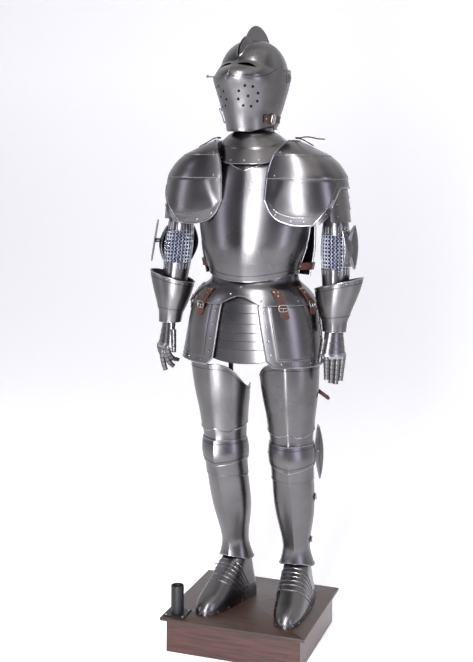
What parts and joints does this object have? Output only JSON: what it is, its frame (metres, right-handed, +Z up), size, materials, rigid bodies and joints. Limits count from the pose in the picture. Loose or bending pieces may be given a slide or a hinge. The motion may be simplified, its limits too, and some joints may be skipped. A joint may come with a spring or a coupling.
{
  "type": "suit of plate armour on a display stand with a wooden plinth",
  "caption": "Full suit of plate armour with a close helmet, mail at the elbows and gauntlets, on a plain stand and a moulded wooden plinth with a socket for a pole arm.",
  "frame": {"origin": "centre of the plinth's underside", "axes": "+Z up, the suit faces -Y, the wearer's left side is +X"},
  "size_m": [0.7084, 0.448, 1.971],
  "materials": {
    "steel": "satin, finely brushed",
    "mail": "small steel rings over dark cloth",
    "leather": "waxed reddish brown",
    "mahogany": "satin varnish over dark reddish brown grain",
    "black_steel": "satin black"
  },
  "bodies": {
    "suit": {"helmet_skull": "steel", "helmet_bevor": "steel", "helmet_pivot_left": "steel", "helmet_pivot_right": "steel", "helmet_strap": "leather", "stand_frame": "black_steel", "breastplate": "steel", "backplate": "steel", "gorget_front": "steel", "gorget_back": "steel", "waist_plate": "steel", "culet": "steel", "fauld_lame_1": "steel", "fauld_lame_2": "steel", "fauld_lame_3": "steel", "fauld_lame_4": "steel", "fauld_lame_5": "steel", "fauld_lame_6": "steel", "tasset_left": "steel", "tasset_right": "steel", "side_strap_left": "leather", "tasset_strap_front_left": "leather", "tasset_strap_side_left": "leather", "side_strap_right": "leather", "tasset_strap_front_right": "leather", "tasset_strap_side_right": "leather", "pauldron_left": "steel", "arm_lames_left": "steel", "rerebrace_left": "steel", "mail_sleeve_left": "mail", "couter_left": "steel", "vambrace_left": "steel", "gauntlet_cuff_left": "steel", "gauntlet_hand_left": "steel", "pauldron_right": "steel", "arm_lames_right": "steel", "rerebrace_right": "steel", "mail_sleeve_right": "mail", "couter_right": "steel", "vambrace_right": "steel", "gauntlet_cuff_right": "steel", "gauntlet_hand_right": "steel", "cuisse_left": "steel", "knee_lame_upper_left": "steel", "poleyn_left": "steel", "knee_lame_lower_left": "steel", "greave_left": "steel", "sabaton_left": "steel", "cuisse_right": "steel", "knee_lame_upper_right": "steel", "poleyn_right": "steel", "knee_lame_lower_right": "steel", "greave_right": "steel", "sabaton_right": "steel", "shoulder_lace_left": "leather", "shoulder_lace_right": "leather", "plinth_box": "mahogany", "plinth_top": "mahogany", "weapon_socket": "black_steel"},
    "visor": {"helmet_visor": "steel"}
  },
  "joints": [
    {"name": "visor_lift", "type": "hinge", "parent": "suit", "child": "visor", "pos_m": [-0.03042, 0.06744, 1.812], "axis": [-0.9799, 0.1994, 0], "range_deg": [0, 24]}
  ]
}
